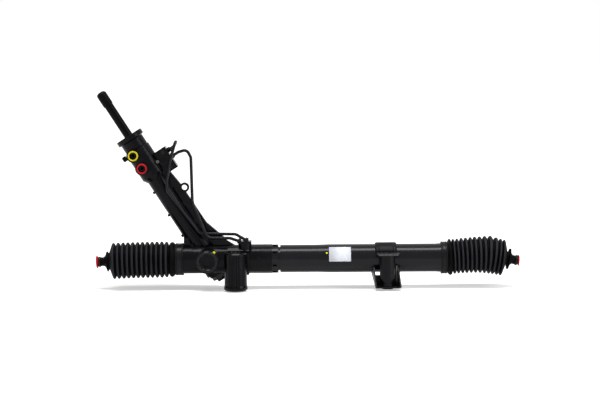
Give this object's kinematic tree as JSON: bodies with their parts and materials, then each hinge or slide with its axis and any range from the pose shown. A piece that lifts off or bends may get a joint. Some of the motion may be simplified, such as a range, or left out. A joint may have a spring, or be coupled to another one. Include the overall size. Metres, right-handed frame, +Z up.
{
  "type": "steering rack",
  "caption": "Hydraulic rack-and-pinion steering gear with a long inclined pinion tower, cylinder tube, rubber boots and two vertical mounting sleeves, supplied without tie rods.",
  "frame": {"origin": "centre of the left mounting bore, half way up its sleeve", "axes": "+X along the rack from the pinion end to the cylinder end, +Y from the mounting sleeves back to the rack, +Z up along the mounting bolts"},
  "size_m": [0.7084, 0.0954, 0.3306],
  "materials": {
    "black_casting": "satin black paint over a casting",
    "black_tube": "satin black paint on smooth steel",
    "worn_black": "thin black paint with bare edges",
    "bright_screws": "zinc plated",
    "machined_steel": "ground and oiled steel",
    "cast_alloy": "as cast and turned",
    "bronze": "plain bearing bronze",
    "seal_plastic": "filled PTFE",
    "rubber_black": "matte moulded rubber",
    "black_plastic": "black moulded plastic",
    "yellow_plastic": "yellow moulded plastic",
    "red_plastic": "red moulded plastic",
    "clamp_steel": "black coated band steel",
    "label_white": "white printed film, left bare"
  },
  "bodies": {
    "housing": {"rack_housing": "black_casting", "valve_cover": "black_casting", "lower_bearing_cap": "black_tube", "pinion_bearing_outer_ring": "machined_steel", "pinion_bearing_balls": "machined_steel", "pinion_needle_bearing": "machined_steel", "pinion_oil_seal": "rubber_black", "input_needle_bearing": "machined_steel", "input_oil_seal": "rubber_black", "inner_rack_bush": "bronze", "inner_rack_seal": "rubber_black", "cylinder_liner": "black_tube", "cylinder_ring": "black_tube", "cylinder_jacket": "black_tube", "liner_end_ring": "machined_steel", "end_bush": "cast_alloy", "end_bush_o_ring": "rubber_black", "outer_rack_seal": "rubber_black", "end_snap_ring": "machined_steel", "yoke": "cast_alloy", "yoke_liner": "bronze", "yoke_springs": "machined_steel", "yoke_plug": "black_tube", "yoke_o_ring": "rubber_black", "yoke_lock_ring": "black_tube", "port_block": "black_casting", "port_block_screws": "black_tube", "passage_screw": "bright_screws", "outer_pipe": "black_tube", "inner_pipe": "black_tube", "pipe_union_nuts": "black_tube", "yellow_port_plug": "yellow_plastic", "red_port_plug": "red_plastic", "bleed_cap": "black_plastic", "boot_left": "rubber_black", "boot_right": "rubber_black", "boot_clamps": "clamp_steel", "boot_clips": "clamp_steel", "boot_plugs": "red_plastic", "left_bush_rubber": "rubber_black", "left_bush_tube": "black_tube", "right_mount_sleeve": "black_tube", "right_lip_plate": "worn_black", "right_saddle": "black_tube", "right_bracket": "black_tube", "label": "label_white"},
    "rack": {"rack_bar": "machined_steel", "piston": "machined_steel", "piston_ring": "seal_plastic", "piston_clips": "machined_steel"},
    "pinion_group": {"pinion": "machined_steel", "pinion_bearing_inner_ring": "machined_steel", "pinion_nut": "machined_steel", "valve_sleeve": "machined_steel", "valve_drive_pin": "machined_steel", "valve_seal_rings": "seal_plastic"},
    "input_group": {"input_shaft": "black_tube", "torsion_bar": "machined_steel", "torsion_bar_pin": "machined_steel", "shaft_cap": "black_plastic"}
  },
  "joints": [
    {"name": "rack_slide", "type": "slide", "parent": "housing", "child": "rack", "axis": [1, 0, 0], "range_m": [-0.066, 0.066]},
    {"name": "pinion_turn", "type": "hinge", "parent": "housing", "child": "pinion_group", "pos_m": [-0.0465, 0.052, 0.0168], "axis": [-0.5388, 0, 0.8425], "range_deg": [-493, 493]},
    {"name": "valve_twist", "type": "hinge", "parent": "pinion_group", "child": "input_group", "pos_m": [-0.0465, 0.052, 0.0168], "axis": [-0.5388, 0, 0.8425], "range_deg": [-4.5, 4.5], "stiffness_Nm_per_rad": 70}
  ],
  "couplings": [
    {"joint": "pinion_turn", "follows": "rack_slide", "rad_per_m": 130.11}
  ]
}
